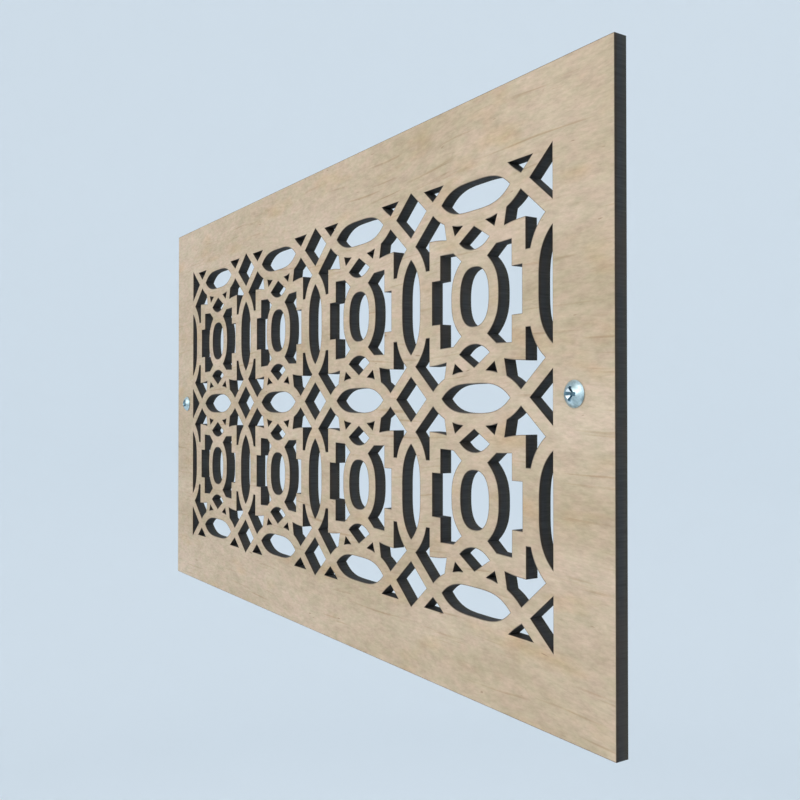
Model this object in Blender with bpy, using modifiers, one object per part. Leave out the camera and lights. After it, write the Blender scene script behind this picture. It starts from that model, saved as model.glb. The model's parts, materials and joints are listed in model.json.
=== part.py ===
"""Fretted wooden cover for a wall register, with the two pan-head screws that hold it.

Metres, +Z up. The board stands in the XZ plane and faces -Y, with its back face in the plane Y = 0.
The origin is the centre of the back face.
"""

import math

import bmesh
import bpy

MM = 0.001

# Board
BOARD_WIDTH = 355.6 * MM
BOARD_HEIGHT = 203.2 * MM
BOARD_THICKNESS = 4.76 * MM
WINDOW_WIDTH = 305.5 * MM

# Lattice: rows and columns of cells, each symmetric about its own centre lines
COLUMNS = 4
ROWS = 2
CELL_WIDTH = 76.2 * MM
CELL_HEIGHT = 68.6 * MM

# Openings that cells share, on the lines between them
FLAT_LENS_LENGTH = 37.2 * MM
FLAT_LENS_HEIGHT = 9.9 * MM
FLAT_LENS_FULLNESS = 3.55
UPRIGHT_LENS_LENGTH = 35.5 * MM
UPRIGHT_LENS_WIDTH = 11.8 * MM
UPRIGHT_LENS_FULLNESS = 3.4
DIAMOND_WIDTH = 20.1 * MM
DIAMOND_HEIGHT = 16.8 * MM

# Oval opening in the middle of a cell, and the ring of wood around it
OVAL_WIDTH = 15.5 * MM
OVAL_HEIGHT = 20.1 * MM
OVAL_SQUARENESS = 2.45
OVAL_SIDES = 24
RING_SIDE_RISE = 5.77 * MM
RING_SIDE_FULLNESS = 2.7

# Pan-head screws
SCREW_X = 162.0 * MM
SCREW_SIDE = {"screw_left": -1, "screw_right": 1}
# The holes were drilled by eye, and the right one is a little above mid-height
SCREW_RISE = {"screw_left": 0.0, "screw_right": 0.75 * MM}
SCREW_HOLE_RADIUS = 2.5 * MM
SCREW_HOLE_SIDES = 20
HEAD_RADIUS = 4.15 * MM
HEAD_HEIGHT = 2.1 * MM
HEAD_RIM = 0.25 * MM
DOME_STEPS = 4
SCREW_SIDES = 24
SHANK_RADIUS = 2.08 * MM
SHANK_LENGTH = 15.9 * MM
POINT_LENGTH = 5.0 * MM
POINT_RADIUS = 0.25 * MM
RECESS_SPAN = 4.2 * MM
RECESS_WIDTH = 1.1 * MM
RECESS_DEPTH = 1.5 * MM
RECESS_TURN = {"screw_left": math.radians(28), "screw_right": math.radians(4)}
TOUCH_GAP = 0.3 * MM

# Colours
VENEER = (0.60, 0.48, 0.33, 1.0)
ZINC = (0.66, 0.68, 0.72, 1.0)


def clear_scene():
    for leftover in list(bpy.data.objects):
        bpy.data.objects.remove(leftover, do_unlink=True)


def new_collection(name, helpers=False):
    collection = bpy.data.collections.new(name)
    collection.hide_render = helpers
    bpy.context.scene.collection.children.link(collection)
    return collection


def principled(name, colour, roughness, metallic):
    material = bpy.data.materials.new(name)
    material.use_nodes = True
    shader = material.node_tree.nodes["Principled BSDF"]
    shader.inputs["Base Color"].default_value = colour
    shader.inputs["Roughness"].default_value = roughness
    shader.inputs["Metallic"].default_value = metallic
    return material


# Outlines are lists of (x, z), from the middle of the cell or of the opening


def from_mm(*points):
    return [(x * MM, z * MM) for x, z in points]


def arc(start, end, rise, steps):
    """Points between start and end, on the circle whose middle stands rise to the left of the chord."""
    (x0, z0), (x1, z1) = start, end
    chord = math.hypot(x1 - x0, z1 - z0)
    radius = (chord * chord / 4 + rise * rise) / (2 * rise)
    half_angle = math.asin(chord / (2 * radius))
    along_x, along_z = (x1 - x0) / chord, (z1 - z0) / chord
    points = []
    for step in range(1, steps):
        angle = half_angle * (2 * step / steps - 1)
        forward = chord / 2 + radius * math.sin(angle)
        aside = radius * (math.cos(angle) - math.cos(half_angle))
        points.append((x0 + along_x * forward - along_z * aside, z0 + along_z * forward + along_x * aside))
    return points


def flipped(outline, x_sign, z_sign):
    return [(x * x_sign, z * z_sign) for x, z in outline]


def upright(outline):
    """The outline with its two axes exchanged."""
    return [(z, x) for x, z in outline]


def moved(outline, x, z):
    return [(x + point_x, z + point_z) for point_x, point_z in outline]


def circle(radius, sides):
    turn = 2 * math.pi / sides
    return [(radius * math.cos(turn * i), radius * math.sin(turn * i)) for i in range(sides)]


def oval():
    """A little fuller than an ellipse."""
    outline = []
    for step in range(OVAL_SIDES):
        angle = 2 * math.pi * step / OVAL_SIDES
        c, s = math.cos(angle), math.sin(angle)
        x = math.copysign(abs(c) ** (2 / OVAL_SQUARENESS), c) * OVAL_WIDTH / 2
        z = math.copysign(abs(s) ** (2 / OVAL_SQUARENESS), s) * OVAL_HEIGHT / 2
        outline.append((x, z))
    return outline


def bow(start, end, rise, fullness, steps):
    """Points between start and end on an even bow, which stands rise to the left of the chord at its middle.

    It falls away as a power of the way to its ends: 2 is nearly a circle, more has rounder shoulders.
    """
    (x0, z0), (x1, z1) = start, end
    chord = math.hypot(x1 - x0, z1 - z0)
    along_x, along_z = (x1 - x0) / chord, (z1 - z0) / chord
    points = []
    for step in range(1, steps):
        # The points lie closer near the ends, where the edge bends most
        even = 2 * step / steps - 1
        way = math.copysign(abs(even) ** 0.55, even)
        forward = chord / 2 * (1 + way)
        aside = rise * (1 - abs(way) ** fullness)
        points.append((x0 + along_x * forward - along_z * aside, z0 + along_z * forward + along_x * aside))
    return points


def upper_lens(length, height, fullness, steps=12):
    """The upper side of a pointed opening along X."""
    left, right = (-length / 2, 0), (length / 2, 0)
    return [left, *bow(left, right, height / 2, fullness, steps), right]


def lens(length, height, fullness):
    upper = upper_lens(length, height, fullness)
    return upper + flipped(reversed(upper[1:-1]), 1, -1)


def upper_diamond(width, height):
    return [(-width / 2, 0), (0, height / 2), (width / 2, 0)]


def diamond(width, height):
    return [*upper_diamond(width, height), (0, -height / 2)]


def stepped_opening():
    """Beside the oval: the ring's outer arc on one side, a stepped square frame on the other."""
    tip, shoulder, corner, inner_step, outer_step = from_mm(
        (7.1, 12.95), (11.7, 16.25), (19.42, 16.55), (19.47, 7.8), (24.5, 7.8)
    )
    upper = [tip, shoulder, corner, inner_step, outer_step]
    lower = flipped(reversed(upper), 1, -1)
    return upper + lower + bow(lower[-1], tip, -RING_SIDE_RISE, RING_SIDE_FULLNESS, 10)


def eye():
    """Above the oval: the ring's outer arc below, two straight sides meeting in a point above."""
    left, right, top = from_mm((-8.25, 19.2), (8.25, 19.2), (0, 23.9))
    return [left, *arc(left, right, -3.12 * MM, 6), right, top]


def sliver():
    """Small triangle between the eye and the lens above it."""
    inner, outer, foot = from_mm((6.2, 25.05), (12.25, 25.95), (10.8, 22.25))
    return [inner, *arc(inner, outer, -0.18 * MM, 2), outer, foot]


def claw():
    """Corner opening between the square frame, the diamond and both lenses."""
    top, neck, hollow = from_mm((23.9, 31.6), (17.0, 27.2), (15.75, 21.6))
    frame_corner, frame_foot = from_mm((26.15, 22.6), (26.15, 12.25))
    lens_foot, tip = from_mm((28.3, 12.25), (35.15, 22.25))
    return [
        top,
        *arc(top, neck, 0.35 * MM, 3),
        neck,
        hollow,
        *arc(hollow, frame_corner, 0.2 * MM, 3),
        frame_corner,
        frame_foot,
        lens_foot,
        *arc(lens_foot, tip, 1.0 * MM, 6),
        tip,
    ]


def edge_triangle():
    """Between a lens and a diamond in the outer lines, flat along the window's edge."""
    inner, apex, outer = from_mm((17.6, 7.1), (24.05, 2.5), (29.6, 7.1))
    return [inner, *arc(inner, apex, -0.15 * MM, 2), apex, outer]


# Lattice


def column_centre(column):
    return (column - (COLUMNS - 1) / 2) * CELL_WIDTH


def row_centre(row):
    return (row - (ROWS - 1) / 2) * CELL_HEIGHT


def column_line(line):
    return (line - COLUMNS / 2) * CELL_WIDTH


def row_line(line):
    return (line - ROWS / 2) * CELL_HEIGHT


def cell_openings(x, z):
    """Every opening that belongs to one cell alone."""
    outlines = [moved(oval(), x, z)]
    for sign in (-1, 1):
        outlines.append(moved(flipped(stepped_opening(), sign, 1), x, z))
        outlines.append(moved(flipped(eye(), 1, sign), x, z))
        for other in (-1, 1):
            outlines.append(moved(flipped(sliver(), sign, other), x, z))
            outlines.append(moved(flipped(claw(), sign, other), x, z))
    return outlines


def shared_openings():
    """Lenses and diamonds on the lines between cells."""
    flat_lens = lens(FLAT_LENS_LENGTH, FLAT_LENS_HEIGHT, FLAT_LENS_FULLNESS)
    upright_lens = upright(lens(UPRIGHT_LENS_LENGTH, UPRIGHT_LENS_WIDTH, UPRIGHT_LENS_FULLNESS))
    outlines = []
    for line in range(ROWS + 1):
        for column in range(COLUMNS):
            outlines.append(moved(flat_lens, column_centre(column), row_line(line)))
    for line in range(1, COLUMNS):
        for row in range(ROWS):
            outlines.append(moved(upright_lens, column_line(line), row_centre(row)))
        for crossing in range(ROWS + 1):
            outline = diamond(DIAMOND_WIDTH, DIAMOND_HEIGHT)
            outlines.append(moved(outline, column_line(line), row_line(crossing)))
    return outlines


def end_openings():
    """Half lenses and half diamonds with their flat side on the window's left and right edges."""
    past_line = WINDOW_WIDTH - COLUMNS * CELL_WIDTH
    longer = 0.8 * past_line
    half_lens = upright(
        upper_lens(UPRIGHT_LENS_LENGTH + longer, UPRIGHT_LENS_WIDTH + past_line, UPRIGHT_LENS_FULLNESS)
    )
    half_diamond = upright(upper_diamond(DIAMOND_HEIGHT + longer, DIAMOND_WIDTH + past_line))
    outlines = []
    for side in (-1, 1):
        x = side * WINDOW_WIDTH / 2
        for row in range(ROWS):
            outlines.append(moved(flipped(half_lens, -side, 1), x, row_centre(row)))
        for line in range(ROWS + 1):
            outlines.append(moved(flipped(half_diamond, -side, 1), x, row_line(line)))
    return outlines


def edge_openings():
    """Triangles along the window's upper and lower edges."""
    outlines = []
    for column in range(COLUMNS):
        for x_sign in (-1, 1):
            for z_sign in (-1, 1):
                outline = flipped(edge_triangle(), x_sign, z_sign)
                outlines.append(moved(outline, column_centre(column), z_sign * row_line(ROWS)))
    return outlines


def screw_holes():
    hole = circle(SCREW_HOLE_RADIUS, SCREW_HOLE_SIDES)
    return [moved(hole, side * SCREW_X, SCREW_RISE[name]) for name, side in SCREW_SIDE.items()]


def board_edge():
    half_width, half_height = BOARD_WIDTH / 2, BOARD_HEIGHT / 2
    return [
        (-half_width, -half_height),
        (half_width, -half_height),
        (half_width, half_height),
        (-half_width, half_height),
    ]


# Pieces


def make_panel(collection, material):
    """A flat 2D curve, stood upright: the board's edge, with every other outline a hole in it."""
    outlines = [board_edge(), *shared_openings(), *end_openings(), *edge_openings(), *screw_holes()]
    for column in range(COLUMNS):
        for row in range(ROWS):
            outlines.extend(cell_openings(column_centre(column), row_centre(row)))
    curve = bpy.data.curves.new("panel", "CURVE")
    curve.dimensions = "2D"
    curve.fill_mode = "BOTH"
    curve.extrude = BOARD_THICKNESS / 2
    for outline in outlines:
        spline = curve.splines.new("POLY")
        spline.points.add(len(outline) - 1)
        for point, (x, z) in zip(spline.points, outline):
            point.co = (x, z, 0, 1)
        spline.use_cyclic_u = True
    curve.materials.append(material)
    panel = bpy.data.objects.new("panel", curve)
    panel.rotation_euler = (math.pi / 2, 0, 0)
    panel.location = (0, -BOARD_THICKNESS / 2, 0)
    collection.objects.link(panel)
    return panel


def screw_profile():
    """Half section of a screw, (radius, height), from the middle of the head down to the point."""
    rise = HEAD_HEIGHT - HEAD_RIM
    dome_radius = (HEAD_RADIUS**2 + rise**2) / (2 * rise)
    dome_angle = math.asin(HEAD_RADIUS / dome_radius)
    dome = []
    for step in range(DOME_STEPS + 1):
        angle = dome_angle * step / DOME_STEPS
        dome.append((dome_radius * math.sin(angle), HEAD_HEIGHT - dome_radius * (1 - math.cos(angle))))
    return [
        *dome,
        (HEAD_RADIUS, 0),
        (SHANK_RADIUS, 0),
        (SHANK_RADIUS, POINT_LENGTH - SHANK_LENGTH),
        (POINT_RADIUS, -SHANK_LENGTH),
        (0, -SHANK_LENGTH),
    ]


def make_screw_mesh(material):
    mesh = bpy.data.meshes.new("screw")
    build = bmesh.new()
    corners = [build.verts.new((radius, 0, height)) for radius, height in screw_profile()]
    for upper, lower in zip(corners, corners[1:]):
        build.edges.new((upper, lower))
    build.to_mesh(mesh)
    build.free()
    mesh.materials.append(material)
    return mesh


def make_recess_cutter(name, collection):
    """Two crossed bars, which leave the cross recess that a driver fits."""
    mesh = bpy.data.meshes.new(name)
    build = bmesh.new()
    for length, width in ((RECESS_SPAN, RECESS_WIDTH), (RECESS_WIDTH, RECESS_SPAN)):
        bar = bmesh.ops.create_cube(build, size=1)["verts"]
        bmesh.ops.scale(build, vec=(length, width, 2 * RECESS_DEPTH), verts=bar)
        bmesh.ops.translate(build, vec=(0, 0, HEAD_HEIGHT), verts=bar)
    build.to_mesh(mesh)
    build.free()
    cutter = bpy.data.objects.new(name, mesh)
    cutter.display_type = "WIRE"
    cutter.hide_render = True
    collection.objects.link(cutter)
    return cutter


def make_screw(name, mesh, collection, cutters):
    """A screw along Y whose head stands just off the board's face."""
    screw = bpy.data.objects.new(name, mesh)
    screw.rotation_euler = (math.pi / 2, RECESS_TURN[name], 0)
    screw.location = (SCREW_SIDE[name] * SCREW_X, -BOARD_THICKNESS - TOUCH_GAP, SCREW_RISE[name])
    collection.objects.link(screw)

    turning = screw.modifiers.new("Turn", "SCREW")
    turning.axis = "Z"
    turning.steps = SCREW_SIDES
    turning.render_steps = SCREW_SIDES
    turning.use_merge_vertices = True
    turning.merge_threshold = 0.01 * MM

    cutter = make_recess_cutter(name + "_recess", cutters)
    cutter.parent = screw
    cutting = screw.modifiers.new("Recess", "BOOLEAN")
    cutting.operation = "DIFFERENCE"
    cutting.solver = "EXACT"
    cutting.use_self = True
    cutting.object = cutter
    return screw


def main():
    clear_scene()
    parts = new_collection("register_cover")
    cutters = new_collection("cutters", helpers=True)
    wood = principled("veneered board", VENEER, roughness=0.55, metallic=0.0)
    zinc = principled("zinc plate", ZINC, roughness=0.3, metallic=1.0)
    make_panel(parts, wood)
    screw_mesh = make_screw_mesh(zinc)
    for name in SCREW_SIDE:
        make_screw(name, screw_mesh, parts, cutters)


main()
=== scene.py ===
# %% [markdown]
# # A fretted wooden register cover
# This lesson dresses a thin board, cut through with a lattice, and the two screws that hold it. The sizes
# come from the frame, a set of plain solids that is loaded first. Every piece is then given the surface
# that the real one has: bare veneer on the faces, char on every cut edge, bright zinc on the screws.

# %% Load the frame
import json
import math

import bpy
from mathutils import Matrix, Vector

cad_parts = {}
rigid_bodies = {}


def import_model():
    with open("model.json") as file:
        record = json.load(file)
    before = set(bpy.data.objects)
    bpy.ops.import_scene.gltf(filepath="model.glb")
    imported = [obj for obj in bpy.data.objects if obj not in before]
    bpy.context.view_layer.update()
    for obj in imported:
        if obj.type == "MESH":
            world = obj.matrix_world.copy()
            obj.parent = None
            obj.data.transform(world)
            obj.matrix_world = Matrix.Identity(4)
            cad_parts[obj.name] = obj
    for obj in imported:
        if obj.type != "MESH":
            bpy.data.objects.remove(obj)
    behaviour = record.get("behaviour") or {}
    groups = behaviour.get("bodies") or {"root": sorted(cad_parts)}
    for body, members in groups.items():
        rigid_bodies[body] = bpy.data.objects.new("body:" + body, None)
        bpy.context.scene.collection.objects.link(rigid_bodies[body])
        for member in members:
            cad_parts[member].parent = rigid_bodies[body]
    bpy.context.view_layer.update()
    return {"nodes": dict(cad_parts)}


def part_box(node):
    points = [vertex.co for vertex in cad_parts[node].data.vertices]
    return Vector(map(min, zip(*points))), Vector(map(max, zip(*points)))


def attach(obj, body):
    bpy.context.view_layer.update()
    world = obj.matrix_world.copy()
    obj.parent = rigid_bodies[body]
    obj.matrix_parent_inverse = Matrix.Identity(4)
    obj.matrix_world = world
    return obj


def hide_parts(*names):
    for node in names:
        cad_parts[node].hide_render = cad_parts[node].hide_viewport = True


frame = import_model()
MM = 0.001

# %% [markdown]
# ## The camera
# The picture is taken from close by and well to the right, so the near end of the board looks more than
# twice as tall as the far end. A long lens from further off couldn't give that. The camera could be aimed
# with a constraint, but three angles say more plainly that it looks level and turned far to the left.

# %% Camera
CAMERA_PLACE = (0.3530, -0.1911, -0.0042)
CAMERA_TURN = math.radians(56.76)
CAMERA_TILT = math.radians(0.69)
CAMERA_LENS = 40.28

bpy.ops.object.select_all(action="DESELECT")
bpy.ops.object.camera_add(location=CAMERA_PLACE, rotation=(math.pi / 2 + CAMERA_TILT, 0, CAMERA_TURN))
camera = bpy.context.object
camera.data.lens = CAMERA_LENS
camera.data.clip_start = 0.01
camera.data.clip_end = 50
bpy.context.scene.camera = camera
print("camera in mm:", [round(value / MM) for value in CAMERA_PLACE])

# %% [markdown]
# ## The surroundings
# A thin board with holes shows whatever is behind it. A flat floor and a separate backdrop would draw a
# line across every opening, so the floor turns up all round, like a wide bowl. It is made from a disc whose
# rim is extruded up in small steps, and it is the same pale colour from every side.

# %% Helpers for modelling in edit mode
# A face looks along an axis when that part of its normal is past FACING
FACING = 0.9
WELD = 0.01 * MM


def work_on(piece, mode="EDIT"):
    """Make one piece the only selected one, and enter the mode."""
    bpy.ops.object.select_all(action="DESELECT")
    piece.select_set(True)
    bpy.context.view_layer.objects.active = piece
    bpy.ops.object.mode_set(mode=mode)


def pick_faces(piece, wanted):
    """In edit mode, select the faces for which wanted(face) is true, and nothing else."""
    bpy.ops.mesh.select_mode(type="FACE")
    bpy.ops.mesh.select_all(action="DESELECT")
    bpy.ops.object.mode_set(mode="OBJECT")
    for face in piece.data.polygons:
        face.select = wanted(face)
    bpy.ops.object.mode_set(mode="EDIT")


def weld(piece):
    """Merge the points of a piece that lie closer together than WELD, and stay in edit mode."""
    work_on(piece)
    bpy.ops.mesh.select_all(action="SELECT")
    bpy.ops.mesh.remove_doubles(threshold=WELD)


def apply_place(piece):
    """Write a piece's place, turn and scale into its mesh."""
    work_on(piece, mode="OBJECT")
    bpy.ops.object.transform_apply(location=True, rotation=True, scale=True)


def apply_modifiers(piece):
    work_on(piece, mode="OBJECT")
    for modifier in list(piece.modifiers):
        bpy.ops.object.modifier_apply(modifier=modifier.name)


# %% Stage
FLOOR_Z = -1.1
FLOOR_RADIUS = 2.6
FLOOR_SIDES = 96
SWEEP_RADIUS = 0.9
SWEEP_STEPS = 10
RIM_HEIGHT = 2.6

bpy.ops.mesh.primitive_circle_add(
    vertices=FLOOR_SIDES, radius=FLOOR_RADIUS, fill_type="NGON", location=(0, 0, FLOOR_Z)
)
surround = bpy.context.object
surround.name = "surround"
work_on(surround)
bpy.ops.mesh.select_mode(type="EDGE")
bpy.ops.mesh.select_all(action="SELECT")
reach = FLOOR_RADIUS
for step in range(1, SWEEP_STEPS + 1):
    angle = math.pi / 2 * step / SWEEP_STEPS
    next_reach = FLOOR_RADIUS + SWEEP_RADIUS * math.sin(angle)
    rise = SWEEP_RADIUS * (math.cos(angle - math.pi / 2 / SWEEP_STEPS) - math.cos(angle))
    bpy.ops.mesh.extrude_edges_move(TRANSFORM_OT_translate={"value": (0, 0, rise)})
    bpy.ops.transform.resize(value=(next_reach / reach, next_reach / reach, 1), center_override=(0, 0, 0))
    reach = next_reach
bpy.ops.mesh.extrude_edges_move(TRANSFORM_OT_translate={"value": (0, 0, RIM_HEIGHT)})
bpy.ops.object.mode_set(mode="OBJECT")
apply_place(surround)
bpy.ops.object.shade_smooth_by_angle(angle=math.radians(30))
print("surround:", len(surround.data.polygons), "faces")

# %% [markdown]
# ## Light
# The board is evenly lit, with no hard shadow and hardly any falloff. A bright overcast sky does most of
# that. A large softbox in front, a little above, lifts the veneer and gives the screw heads something to
# mirror, and a smaller one to the right fills the near end. A sun or a spot would draw the lattice again as
# a shadow, so neither is used.

# %% Light
SKY_COLOUR = (0.86, 0.93, 1.0, 1.0)
SKY_STRENGTH = 0.88
KEY_PLACE = (0.35, -1.5, 0.75)
KEY_SIZE = 1.9
KEY_POWER = 19.5
KEY_COLOUR = (1.0, 0.96, 0.90)
FILL_PLACE = (1.6, -0.5, 0.25)
FILL_SIZE = 0.9
FILL_POWER = 5
FILL_COLOUR = (0.92, 0.97, 1.0)

world = bpy.data.worlds.new("overcast")
world.use_nodes = True
sky = world.node_tree.nodes["Background"]
sky.inputs["Color"].default_value = SKY_COLOUR
sky.inputs["Strength"].default_value = SKY_STRENGTH
bpy.context.scene.world = world
bpy.context.scene.view_settings.view_transform = "Standard"


def softbox(name, place, size, power, colour):
    """A round area light aimed at the middle of the board."""
    bpy.ops.object.light_add(type="AREA", location=place)
    lamp = bpy.context.object
    lamp.name = name
    lamp.data.shape = "DISK"
    lamp.data.size = size
    lamp.data.energy = power
    lamp.data.color = colour
    aim = -lamp.location
    lamp.rotation_euler = aim.to_track_quat("-Z", "Y").to_euler()
    lamp.visible_camera = False
    return lamp


for lamp in (
    softbox("key", KEY_PLACE, KEY_SIZE, KEY_POWER, KEY_COLOUR),
    softbox("fill", FILL_PLACE, FILL_SIZE, FILL_POWER, FILL_COLOUR),
):
    print(lamp.name, "softbox:", lamp.data.energy, "W,", round(lamp.location.length, 2), "m away")

# %% [markdown]
# ## Building materials
# Every finish here is a small graph of nodes. Helpers keep the graphs readable: one adds a node and sets
# its inputs, one starts a material and hands back its shader, and each of the others stands for one common
# step, such as a stretched noise or a colour ramp.

# %% Helpers for materials


def node(tree, kind, inputs=(), **settings):
    """Add a node, set its properties, then its inputs: a link where a socket is given, else a value."""
    made = tree.nodes.new(kind)
    for key, value in settings.items():
        setattr(made, key, value)
    for key, value in dict(inputs).items():
        if isinstance(value, bpy.types.NodeSocket):
            tree.links.new(value, made.inputs[key])
        else:
            made.inputs[key].default_value = value
    return made


def new_finish(name):
    finish = bpy.data.materials.new(name)
    finish.use_nodes = True
    return finish, finish.node_tree, finish.node_tree.nodes["Principled BSDF"]


def object_place(tree):
    return node(tree, "ShaderNodeTexCoord").outputs["Object"]


def stretched_noise(tree, place, stretch, detail=2.0, roughness=0.5, shift=(0, 0, 0)):
    """Noise at a place: stretch gives the number of waves in a metre along X, Y and Z."""
    mapped = node(tree, "ShaderNodeMapping", {"Vector": place, "Location": shift, "Scale": stretch})
    noise = node(
        tree,
        "ShaderNodeTexNoise",
        {
            "Vector": mapped.outputs["Vector"],
            "Scale": 1.0,
            "Detail": detail,
            "Roughness": roughness,
        },
    )
    return noise.outputs["Fac"]


def ramp(tree, factor, stops):
    """A colour ramp through (position, colour) stops."""
    made = node(tree, "ShaderNodeValToRGB", {"Fac": factor})
    elements = made.color_ramp.elements
    elements[0].position, elements[0].color = stops[0][0], stops[0][1]
    elements[1].position, elements[1].color = stops[-1][0], stops[-1][1]
    for position, colour in stops[1:-1]:
        elements.new(position).color = colour
    return made.outputs["Color"]


def grey(value):
    return (value, value, value, 1.0)


def blend_colours(tree, mode, factor, first, second):
    """Mix two colours. On a Mix node, sockets 0, 6 and 7 are the factor and the two colours."""
    made = node(tree, "ShaderNodeMix", {0: factor, 6: first, 7: second}, data_type="RGBA", blend_type=mode)
    return made.outputs[2]


def maths(tree, operation, first, second):
    return node(tree, "ShaderNodeMath", {0: first, 1: second}, operation=operation).outputs["Value"]


def peaks(tree, noise, start, full, strength):
    """Nothing below start, the full strength above full: marks only the peaks of a noise."""
    picked = ramp(tree, noise, [(start, grey(0)), (full, grey(1))])
    return maths(tree, "MULTIPLY", picked, strength)


def bump_by(tree, shader, height, strength, depth):
    """Let a noise tilt the surface as if it were raised by up to a depth."""
    bump = node(tree, "ShaderNodeBump", {"Strength": strength, "Distance": depth, "Height": height})
    tree.links.new(bump.outputs["Normal"], shader.inputs["Normal"])


# %% Surround's finish
SURROUND_COLOUR = (0.86, 0.90, 0.93, 1.0)

surround_finish, tree, shader = new_finish("pale surround")
shader.inputs["Base Color"].default_value = SURROUND_COLOUR
shader.inputs["Roughness"].default_value = 0.9
shader.inputs["Specular IOR Level"].default_value = 0.1
surround.data.materials.append(surround_finish)
print("surround's finish:", surround_finish.name)

# %% [markdown]
# ## Bare veneer
# The faces are a pale, close-grained veneer with nothing on it: no stain, hardly any sheen. Its pattern
# could be painted as one image, but then the wood would change with the resolution. Stretched noises do it
# instead, and all of them are read at a place whose height wanders a little, so that the whole figure waves
# along the board.

# %% Wavy grain
GRAIN_WANDER = 18 * MM


def wavy_place(tree):
    """Object coordinates whose height wanders slowly along the grain."""
    place = object_place(tree)
    wander = stretched_noise(tree, place, (6.5, 20, 9), shift=(3, 0, 1))
    lift = node(tree, "ShaderNodeCombineXYZ", {"Z": maths(tree, "MULTIPLY", wander, GRAIN_WANDER)})
    waved = node(tree, "ShaderNodeVectorMath", {0: place, 1: lift.outputs["Vector"]}, operation="ADD")
    return waved.outputs["Vector"]


# %% [markdown]
# The ground tone changes slowly between a darker and a paler tan. On it lie warm blotches, a soft mottle,
# and patches of a pinker and a greener tint. Each is one noise that a colour ramp reads, so how strong it
# is stays a plain number.

# %% Ground tone
TAN_STOPS = [
    (0.32, (0.440, 0.340, 0.234, 1)),
    (0.50, (0.490, 0.382, 0.278, 1)),
    (0.70, (0.535, 0.423, 0.320, 1)),
]
BLOTCH_COLOUR = (0.96, 0.86, 0.70, 1)
MOTTLE_STOPS = [(0.3, (0.925, 0.93, 0.905, 1)), (0.7, (1.075, 1.07, 1.075, 1))]
TINT_STOPS = [(0.35, (1.02, 0.985, 1.0, 1)), (0.65, (0.985, 1.012, 0.98, 1))]


def ground_tone(tree, grain):
    tone = ramp(tree, stretched_noise(tree, grain, (9, 40, 40), detail=3.0), TAN_STOPS)
    blotch_noise = stretched_noise(tree, grain, (34, 60, 95), shift=(1, 0, 6))
    blotch = peaks(tree, blotch_noise, 0.57, 0.77, 0.7)
    warmed = blend_colours(tree, "MULTIPLY", blotch, tone, BLOTCH_COLOUR)
    mottle = stretched_noise(tree, grain, (120, 100, 240), shift=(2, 0, 3))
    mottled = blend_colours(tree, "MULTIPLY", 1.0, warmed, ramp(tree, mottle, MOTTLE_STOPS))
    tint = stretched_noise(tree, grain, (150, 70, 330), shift=(0, 3, 1))
    return blend_colours(tree, "MULTIPLY", 1.0, mottled, ramp(tree, tint, TINT_STOPS))


# %% [markdown]
# Over the ground run a few long streaks and the fine fibres, and here and there a short dark fleck. Their
# noises are stretched much further along the grain than the ground's.

# %% Streaks, fibres and flecks
STREAK_COLOUR = (0.76, 0.68, 0.58, 1)
FIBRE_STOPS = [(0.28, (0.865, 0.865, 0.85, 1)), (0.72, (1.125, 1.125, 1.125, 1))]
FLECK_COLOUR = (0.24, 0.145, 0.08, 1)


def fine_figure(tree, grain, fibre, ground):
    streak_noise = stretched_noise(tree, grain, (24, 50, 640), shift=(4, 0, 2))
    streak = peaks(tree, streak_noise, 0.63, 0.76, 0.85)
    streaked = blend_colours(tree, "MULTIPLY", streak, ground, STREAK_COLOUR)
    fibred = blend_colours(tree, "MULTIPLY", 1.0, streaked, ramp(tree, fibre, FIBRE_STOPS))
    fleck_noise = stretched_noise(tree, grain, (150, 300, 800), detail=1.0, shift=(5, 2, 0))
    fleck = peaks(tree, fleck_noise, 0.775, 0.82, 0.65)
    return blend_colours(tree, "MIX", fleck, fibred, FLECK_COLOUR)


# %% [markdown]
# The cut has singed a hair's breadth of veneer along every edge. A value painted on the board's points,
# called scorch, says how near the cut is, and the veneer darkens by it. The fibres also set how matt the
# wood is, and they stand out a little.

# %% Veneer
SINGE_COLOUR = (0.078, 0.066, 0.055, 1)
SINGE_STRENGTH = 0.94
SINGE_CURVE = 0.9
FIBRE_HEIGHT = 0.06 * MM


def make_veneer():
    finish, tree, shader = new_finish("bare veneer")
    grain = wavy_place(tree)
    fibre = stretched_noise(tree, grain, (330, 300, 1100), detail=4.0, roughness=0.65)
    wood = fine_figure(tree, grain, fibre, ground_tone(tree, grain))
    nearness = node(tree, "ShaderNodeAttribute", attribute_name="scorch").outputs["Fac"]
    singe = maths(tree, "MULTIPLY", maths(tree, "POWER", nearness, SINGE_CURVE), SINGE_STRENGTH)
    colour = blend_colours(tree, "MIX", singe, wood, SINGE_COLOUR)
    tree.links.new(colour, shader.inputs["Base Color"])
    sheen = ramp(tree, fibre, [(0.3, grey(0.62)), (0.7, grey(0.50))])
    tree.links.new(sheen, shader.inputs["Roughness"])
    shader.inputs["Specular IOR Level"].default_value = 0.28
    bump_by(tree, shader, fibre, strength=0.2, depth=FIBRE_HEIGHT)
    return finish


veneer = make_veneer()
print("veneer:", len(veneer.node_tree.nodes), "nodes")

# %% [markdown]
# ## Charred edges
# A laser cuts the board, and every cut edge is burnt almost black and quite matt. It isn't one flat black:
# the face ply chars a dark brown, the core a bluish grey, the back ply a warmer grey again, and the beam
# leaves fine ridges that run straight through the thickness. A ramp along the depth gives the plies their
# bands, and a noise that is stretched along the depth gives the ridges, so both line up all along an edge.

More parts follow.
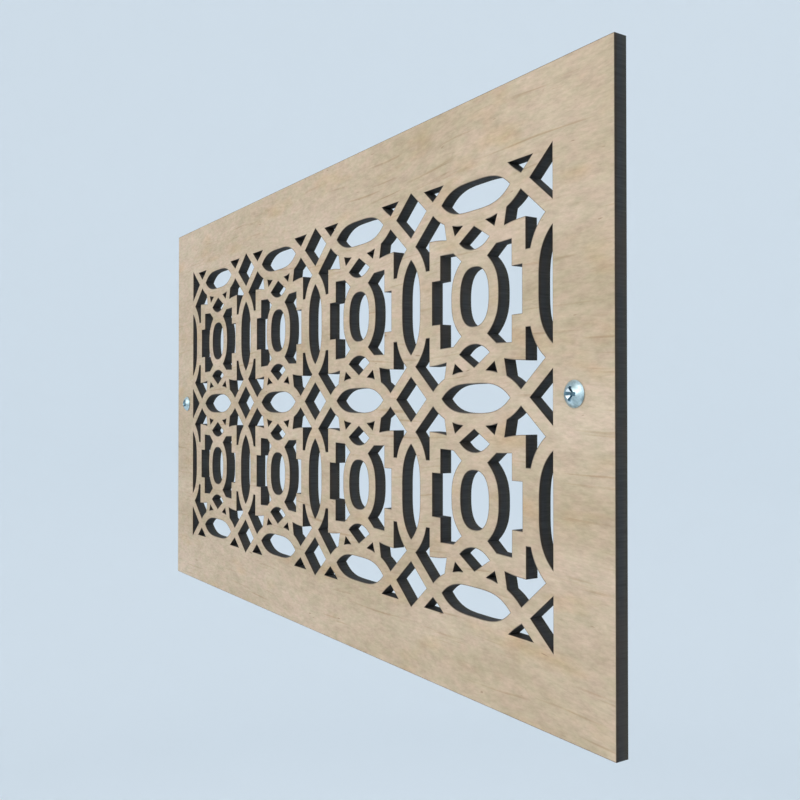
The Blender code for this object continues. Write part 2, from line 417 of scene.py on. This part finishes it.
# %% Char
board_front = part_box("panel")[0].y
BOARD_THICKNESS = -board_front
PLY_BANDS = [
    (0.00, (0.034, 0.024, 0.017, 1)),
    (0.16, (0.036, 0.030, 0.025, 1)),
    (0.28, (0.033, 0.034, 0.036, 1)),
    (0.58, (0.036, 0.037, 0.038, 1)),
    (0.78, (0.044, 0.042, 0.036, 1)),
    (1.00, (0.043, 0.041, 0.034, 1)),
]
PLY_WAVER = 0.14
SOOT_COLOUR = (0.060, 0.044, 0.032, 1)
RIDGE_HEIGHT = 0.06 * MM


def make_char():
    finish, tree, shader = new_finish("charred edge")
    place = object_place(tree)
    depth = node(tree, "ShaderNodeSeparateXYZ", {"Vector": place}).outputs["Y"]
    share = maths(tree, "ADD", maths(tree, "MULTIPLY", depth, 1 / BOARD_THICKNESS), 1.0)
    waver = maths(tree, "MULTIPLY", stretched_noise(tree, place, (60, 10, 60)), PLY_WAVER)
    centred = maths(tree, "SUBTRACT", waver, PLY_WAVER / 2)
    ply_tone = ramp(tree, maths(tree, "ADD", share, centred), PLY_BANDS)
    ridges = stretched_noise(tree, place, (1900, 120, 1900))
    ridge_tone = ramp(tree, ridges, [(0.3, grey(0.74)), (0.7, grey(1.26))])
    ridged = blend_colours(tree, "MULTIPLY", 0.8, ply_tone, ridge_tone)
    soot_noise = stretched_noise(tree, place, (35, 60, 35), detail=3.0, shift=(2, 0, 4))
    soot = peaks(tree, soot_noise, 0.52, 0.72, 0.4)
    colour = blend_colours(tree, "MIX", soot, ridged, SOOT_COLOUR)
    tree.links.new(colour, shader.inputs["Base Color"])
    shader.inputs["Roughness"].default_value = 0.82
    shader.inputs["Specular IOR Level"].default_value = 0.2
    bump_by(tree, shader, ridges, strength=0.5, depth=RIDGE_HEIGHT)
    return finish


char = make_char()
print("board thickness in mm:", round(BOARD_THICKNESS / MM, 2))

# %% [markdown]
# ## The board's outline
# The lattice is exact in the frame, but its curves are cut into short straight runs there. A subdivision
# surface would round them, and every corner with them. So the outline is drawn again: the edges of the
# solid's front face become splines through the same points, smooth where an edge bends gently and sharp
# where it turns.

# %% Edges of the front face
board = bpy.data.objects.new("fretted_board", frame["nodes"]["panel"].data.copy())
bpy.context.scene.collection.objects.link(board)
board.data.materials.clear()
weld(board)
pick_faces(board, lambda face: face.normal.y < -FACING)
bpy.ops.mesh.region_to_loop()
bpy.ops.mesh.select_all(action="INVERT")
bpy.ops.mesh.delete(type="EDGE")
bpy.ops.object.mode_set(mode="OBJECT")
print("front outline:", len(board.data.edges), "edges")

# %% [markdown]
# A flat curve is filled in its own XY plane, so the outline is laid down first. It is stood up again once
# it is a mesh, because only then can the turn be applied.

# %% Smooth splines
SHARP_TURN = math.radians(28)
SPLINE_STEPS = 4


def turn_about_x(piece, angle, place):
    piece.rotation_euler = (angle, 0, 0)
    piece.location = place
    apply_place(piece)


def smooth_spline(spline):
    """Give the gentle points flowing handles and the sharp ones straight handles."""
    points = spline.bezier_points
    spline.resolution_u = SPLINE_STEPS
    for index, point in enumerate(points):
        coming = point.co - points[index - 1].co
        going = points[(index + 1) % len(points)].co - point.co
        handle = "VECTOR" if coming.angle(going) > SHARP_TURN else "AUTO"
        point.handle_left_type = handle
        point.handle_right_type = handle


turn_about_x(board, -math.pi / 2, (0, 0, board_front))
bpy.ops.object.convert(target="CURVE")
board.data.dimensions = "2D"
work_on(board)
bpy.ops.curve.select_all(action="SELECT")
bpy.ops.curve.spline_type_set(type="BEZIER")
bpy.ops.object.mode_set(mode="OBJECT")
for spline in board.data.splines:
    smooth_spline(spline)
board.data.fill_mode = "BOTH"
board.data.extrude = BOARD_THICKNESS / 2
point_count = sum(len(spline.bezier_points) for spline in board.data.splines)
print("outline:", len(board.data.splines), "splines through", point_count, "points")

# %% [markdown]
# ## The board
# The curve becomes a mesh, is welded and stood upright. Its front and back are told from its cut edges by
# where the faces lie. They are filled with long slivers, which an inset would turn inside out, so the
# triangles are first made as compact as their points allow. Insetting both sides then leaves a narrow
# border along every cut, and a painted value that is full on the cut and nothing on the border's inner side
# lets the veneer darken there. A bevel could mark the cut as well, but a laser leaves it square.

# %% Board
SINGE_WIDTH = 0.38 * MM
SIDE_SHARE = 0.05


def is_cut_edge(face):
    """Whether a face of the board lies between its front and its back."""
    return SIDE_SHARE < face.center.y / board_front < 1 - SIDE_SHARE


work_on(board, mode="OBJECT")
bpy.ops.object.convert(target="MESH")
turn_about_x(board, math.pi / 2, (0, board_front / 2, 0))
weld(board)
bpy.ops.mesh.normals_make_consistent(inside=False)
pick_faces(board, lambda face: not is_cut_edge(face))
bpy.ops.mesh.beautify_fill()
bpy.ops.mesh.inset(thickness=SINGE_WIDTH, use_boundary=False, use_even_offset=False)
bpy.ops.object.mode_set(mode="OBJECT")

board.data.materials.append(veneer)
board.data.materials.append(char)
on_cut = [False] * len(board.data.vertices)
for face in board.data.polygons:
    face.material_index = int(is_cut_edge(face))
    if is_cut_edge(face):
        for corner in face.vertices:
            on_cut[corner] = True
scorch = board.data.attributes.new("scorch", "FLOAT", "POINT")
scorch.data.foreach_set("value", [1.0 if cut else 0.0 for cut in on_cut])

work_on(board, mode="OBJECT")
bpy.ops.object.shade_smooth_by_angle(angle=SHARP_TURN)
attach(board, "root")
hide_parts("panel")
print("board:", len(board.data.polygons), "faces,", sum(on_cut), "points on cut edges")

# %% [markdown]
# ## Bright zinc
# The screws are steel under a thin, bluish zinc plate. It mirrors its surroundings softly, so it is metal,
# and it isn't even: barrel plating leaves clouds of brighter and duller blue. One noise sets both the
# colour and the roughness, because where the plate is thin it is duller as well as darker. The wings of the
# cross get a second, much darker shade of the same graph, which is painted shade in the recess. On the
# right screw the facets between the wings get a third, near-white one, which is a painted glint.

# %% Zinc
ZINC_GRAIN_HEIGHT = 0.04 * MM


def make_zinc(name, dull, bright):
    finish, tree, shader = new_finish(name)
    place = object_place(tree)
    cloud = stretched_noise(tree, place, (430, 430, 430), detail=3.0, shift=(0, 0, 0.4))
    colour = ramp(tree, cloud, [(0.34, dull), (0.66, bright)])
    tree.links.new(colour, shader.inputs["Base Color"])
    shader.inputs["Metallic"].default_value = 1.0
    polish = ramp(tree, cloud, [(0.34, grey(0.46)), (0.66, grey(0.37))])
    tree.links.new(polish, shader.inputs["Roughness"])
    grain = stretched_noise(tree, place, (2600, 2600, 2600), detail=1.0)
    bump_by(tree, shader, grain, strength=0.2, depth=ZINC_GRAIN_HEIGHT)
    return finish


zinc = make_zinc("bright zinc", (0.27, 0.36, 0.38, 1), (0.60, 0.74, 0.78, 1))
# Painted shade: this much darker zinc goes on the wings of the cross and stands for the shade deep in the
# recess.
painted_shade_zinc = make_zinc("painted shade zinc", (0.085, 0.15, 0.19, 1), (0.24, 0.38, 0.45, 1))
# Painted glint: this near-white zinc goes on the right screw's facets between the wings and stands for a
# bright reflection there.
painted_glint_zinc = make_zinc("painted glint zinc", (0.82, 0.90, 0.92, 1), (0.93, 0.98, 1.0, 1))
print("zinc finishes:", zinc.name, "/", painted_shade_zinc.name, "/", painted_glint_zinc.name)

# %% [markdown]
# ## A screw
# One screw is modelled along +Z, its head up and the underside of the head at Z = 0. The head starts as a
# thin cylinder, drawn in at its foot so that a line of shade lies under the rim. Its top face is extruded
# and narrowed ring by ring into a low dome, and the shank is drawn down from the underside in the same way.
# Turning a drawn profile would do as well, but extruding shows each step. The head sits right on the board,
# so its height and the shank's length come from the two solids' boxes. The recess will take off the very
# top of the dome, so the dome is drawn a little higher than the solid's head.

# %% Screw body
screw_low, screw_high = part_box("screw_right")
DOME_EXTRA = 0.2 * MM
DOME_HEIGHT = board_front - screw_low.y + DOME_EXTRA
SHANK_LENGTH = screw_high.y - board_front
HEAD_RADIUS = 4.15 * MM
HEAD_RIM = 0.35 * MM
DOME_RISE = DOME_HEIGHT - HEAD_RIM
DOME_RADIUS = (HEAD_RADIUS**2 + DOME_RISE**2) / (2 * DOME_RISE)
FOOT_SCALE = 0.93
CROWN_SCALE = 0.5
CORE_RADIUS = 1.45 * MM
SHANK_RADIUS = 2.08 * MM
POINT_LENGTH = 5.0 * MM
POINT_SCALE = 0.12
SIDES = 64
DOME_STEPS = 10
print("dome height and shank length in mm:", round(DOME_HEIGHT / MM, 2), round(SHANK_LENGTH / MM, 2))


def grow_ring(move, scale):
    """Extrude the selected face along Z, then scale it about the axis."""
    bpy.ops.mesh.extrude_region_move(TRANSFORM_OT_translate={"value": (0, 0, move)})
    bpy.ops.transform.resize(value=(scale, scale, 1), center_override=(0, 0, 0))


def make_screw_body():
    bpy.ops.object.select_all(action="DESELECT")
    bpy.ops.mesh.primitive_cylinder_add(
        vertices=SIDES, radius=HEAD_RADIUS, depth=HEAD_RIM, location=(0, 0, HEAD_RIM / 2)
    )
    body = bpy.context.object
    apply_place(body)

    # The head
    work_on(body)
    pick_faces(body, lambda face: face.normal.z < -FACING)
    bpy.ops.transform.resize(value=(FOOT_SCALE, FOOT_SCALE, 1), center_override=(0, 0, 0))
    pick_faces(body, lambda face: face.normal.z > FACING)
    dome_angle = math.asin(HEAD_RADIUS / DOME_RADIUS)
    radius, height = HEAD_RADIUS, HEAD_RIM
    for step in range(1, DOME_STEPS):
        angle = dome_angle * (1 - step / DOME_STEPS)
        next_radius = DOME_RADIUS * math.sin(angle)
        next_height = DOME_HEIGHT - DOME_RADIUS * (1 - math.cos(angle))
        grow_ring(next_height - height, next_radius / radius)
        radius, height = next_radius, next_height
    grow_ring(DOME_HEIGHT - height, CROWN_SCALE)

    # The shank and its point
    pick_faces(body, lambda face: face.normal.z < -FACING)
    bpy.ops.mesh.inset(thickness=HEAD_RADIUS * FOOT_SCALE - CORE_RADIUS)
    grow_ring(POINT_LENGTH - SHANK_LENGTH, 1.0)
    grow_ring(-POINT_LENGTH, POINT_SCALE)
    bpy.ops.object.mode_set(mode="OBJECT")
    return body


screw = make_screw_body()
print("screw body:", len(screw.data.polygons), "faces")

# %% [markdown]
# ## The thread
# A three-sided section is swept down the shank by a Screw modifier, which turns it and lowers it by one
# pitch a turn. Its two open ends are filled, its lower turns are drawn in to follow the point, and a
# Boolean union makes it one skin with the shank. The crest is as wide as the frame's plain shank, so the
# screw fills its place.

# %% Thread
PITCH = 1.69 * MM
THREAD_TURNS = 8
THREAD_TOP = -1.2 * MM
THREAD_HALF = 0.42 * MM
THREAD_STEPS = 32
BURIED = 0.12 * MM


def make_thread():
    bpy.ops.object.select_all(action="DESELECT")
    bpy.ops.mesh.primitive_circle_add(vertices=3, radius=THREAD_HALF, fill_type="NOTHING")
    thread = bpy.context.object
    crest, upper, lower = sorted(thread.data.vertices, key=lambda point: -point.co.y)
    crest.co = (SHANK_RADIUS, 0, THREAD_TOP)
    upper.co = (CORE_RADIUS - BURIED, 0, THREAD_TOP + THREAD_HALF)
    lower.co = (CORE_RADIUS - BURIED, 0, THREAD_TOP - THREAD_HALF)
    sweep = thread.modifiers.new("Sweep", "SCREW")
    sweep.axis = "Z"
    sweep.steps = THREAD_STEPS
    sweep.render_steps = THREAD_STEPS
    sweep.iterations = THREAD_TURNS
    sweep.screw_offset = -PITCH
    sweep.use_merge_vertices = False
    apply_modifiers(thread)
    work_on(thread)
    bpy.ops.mesh.select_mode(type="EDGE")
    bpy.ops.mesh.select_all(action="DESELECT")
    bpy.ops.mesh.select_non_manifold()
    bpy.ops.mesh.edge_face_add()
    bpy.ops.mesh.select_all(action="SELECT")
    bpy.ops.mesh.normals_make_consistent(inside=False)
    bpy.ops.object.mode_set(mode="OBJECT")
    for point in thread.data.vertices:
        share = min(1.0, (point.co.z + SHANK_LENGTH) / POINT_LENGTH)
        point.co.x *= share
        point.co.y *= share
    return thread


def combine(piece, other, operation):
    """Join or cut a piece with another by an exact Boolean, and remove the other."""
    joint = piece.modifiers.new("Combine", "BOOLEAN")
    joint.operation = operation
    joint.solver = "EXACT"
    joint.object = other
    apply_modifiers(piece)
    bpy.data.objects.remove(other, do_unlink=True)


thread = make_thread()
print("thread:", len(thread.data.polygons), "faces")
combine(screw, thread, "UNION")

# %% [markdown]
# ## The cross recess
# A driver's cross sinks into the dome and narrows as it goes down. Each wing is a block whose lower face is
# scaled in. The corners between the wings are cut back by a four-sided taper, and those four slanting
# facets are what catches the light on a real head. Both shapes have their mouth at the height of the dome's
# top, where they would only touch it, so each is drawn up further. They are joined, and cut out of the head
# together.

# %% Cutters for the recess
WING_SPAN = 5.7 * MM
WING_WIDTH = 1.3 * MM
WING_FOOT_SPAN = 1.8 * MM
WING_FOOT_WIDTH = 0.8 * MM
CORNER_MOUTH = 2.6 * MM
CORNER_FOOT = 0.5 * MM
RECESS_DEPTH = 1.7 * MM


def open_upwards(cutter):
    """Draw the top face of a cutter up, clear of the dome."""
    work_on(cutter)
    pick_faces(cutter, lambda face: face.normal.z > FACING)
    bpy.ops.mesh.extrude_region_move(TRANSFORM_OT_translate={"value": (0, 0, RECESS_DEPTH)})
    bpy.ops.object.mode_set(mode="OBJECT")
    apply_place(cutter)


def make_wing(turn):
    """One bar of the cross, narrower at its foot in both directions."""
    middle = (0, 0, DOME_HEIGHT - RECESS_DEPTH / 2)
    bpy.ops.object.select_all(action="DESELECT")
    bpy.ops.mesh.primitive_cube_add(size=1, location=middle, scale=(WING_SPAN, WING_WIDTH, RECESS_DEPTH))
    wing = bpy.context.object
    apply_place(wing)
    work_on(wing)
    pick_faces(wing, lambda face: face.normal.z < -FACING)
    taper = (WING_FOOT_SPAN / WING_SPAN, WING_FOOT_WIDTH / WING_WIDTH, 1)
    bpy.ops.transform.resize(value=taper, center_override=(0, 0, 0))
    bpy.ops.object.mode_set(mode="OBJECT")
    wing.rotation_euler = (0, 0, turn)
    open_upwards(wing)
    return wing


def make_corner_cutter():
    """A taper with its four edges along the wings, so that its flats face the corners between them."""
    bpy.ops.object.select_all(action="DESELECT")
    bpy.ops.mesh.primitive_cone_add(
        vertices=4,
        radius1=CORNER_FOOT,
        radius2=CORNER_MOUTH,
        depth=RECESS_DEPTH,
        location=(0, 0, DOME_HEIGHT - RECESS_DEPTH / 2),
    )
    cutter = bpy.context.object
    open_upwards(cutter)
    return cutter


cross = make_wing(0)
combine(cross, make_wing(math.pi / 2), "UNION")
combine(cross, make_corner_cutter(), "UNION")
print("recess cutter:", len(cross.data.polygons), "faces")

# %% [markdown]
# A Boolean can leave points that all but coincide, so the screw is welded after the cut. The faces inside
# the recess are then told apart by where they lie, below the dome, and by which way they face.

# %% Recess
BELOW_DOME = 0.12 * MM
FLOOR_SLACK = 0.9
SLANTED = 0.3
SMOOTH_TURN = math.radians(32)


def recess_part(face):
    """0 on the outside of the screw, 1 inside a wing, 2 on one of the four slanting facets."""
    out = math.hypot(face.center.x, face.center.y)
    drop = DOME_RADIUS - math.sqrt(DOME_RADIUS**2 - min(out, HEAD_RADIUS) ** 2)
    lowest = FLOOR_SLACK * (DOME_HEIGHT - RECESS_DEPTH)
    if out > WING_SPAN / 2 or not lowest < face.center.z < DOME_HEIGHT - drop - BELOW_DOME:
        return 0
    return 2 if min(abs(face.normal.x), abs(face.normal.y)) > SLANTED else 1


combine(screw, cross, "DIFFERENCE")
weld(screw)
bpy.ops.object.mode_set(mode="OBJECT")
screw.data.materials.clear()
for finish in (zinc, painted_shade_zinc, painted_glint_zinc):
    screw.data.materials.append(finish)
for face in screw.data.polygons:
    # Slot 1 puts painted shade on the wings; slot 2, the slanting facets, gets a painted glint or painted
    # shade per screw below.
    face.material_index = recess_part(face)
work_on(screw, mode="OBJECT")
bpy.ops.object.shade_smooth_by_angle(angle=SMOOTH_TURN)
print("screw:", len(screw.data.polygons), "faces")

# %% [markdown]
# ## Setting the screws
# The finished screw is copied, and each copy is turned to the angle where its own driver stopped, laid
# along Y and moved to its hole. The move is applied, so each object stays at the origin with its place in
# its mesh. The left screw's facets get the same painted shade as its wings, in place of a glint.

# %% Set the screws
FACET_INDEX = 2


def set_screw(name, place, turn, facet_finish):
    """A copy of the screw with its head towards -Y and the underside of the head at the place."""
    copy = bpy.data.objects.new(name + "_zinc", screw.data.copy())
    copy.data.materials[FACET_INDEX] = facet_finish
    bpy.context.scene.collection.objects.link(copy)
    copy.rotation_euler = (math.pi / 2, turn, 0)
    copy.location = place
    apply_place(copy)
    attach(copy, "root")
    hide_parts(name)


# The left screw's facets get painted shade, the right screw's a painted glint.
for name, turn, facet_finish in (
    ("screw_left", math.radians(28), painted_shade_zinc),
    ("screw_right", math.radians(4), painted_glint_zinc),
):
    low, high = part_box(name)
    seat = (low + high) / 2
    seat.y = board_front
    set_screw(name, seat, turn, facet_finish)
    print(name, "head at", [round(value / MM, 2) for value in seat], "mm")
bpy.data.objects.remove(screw, do_unlink=True)
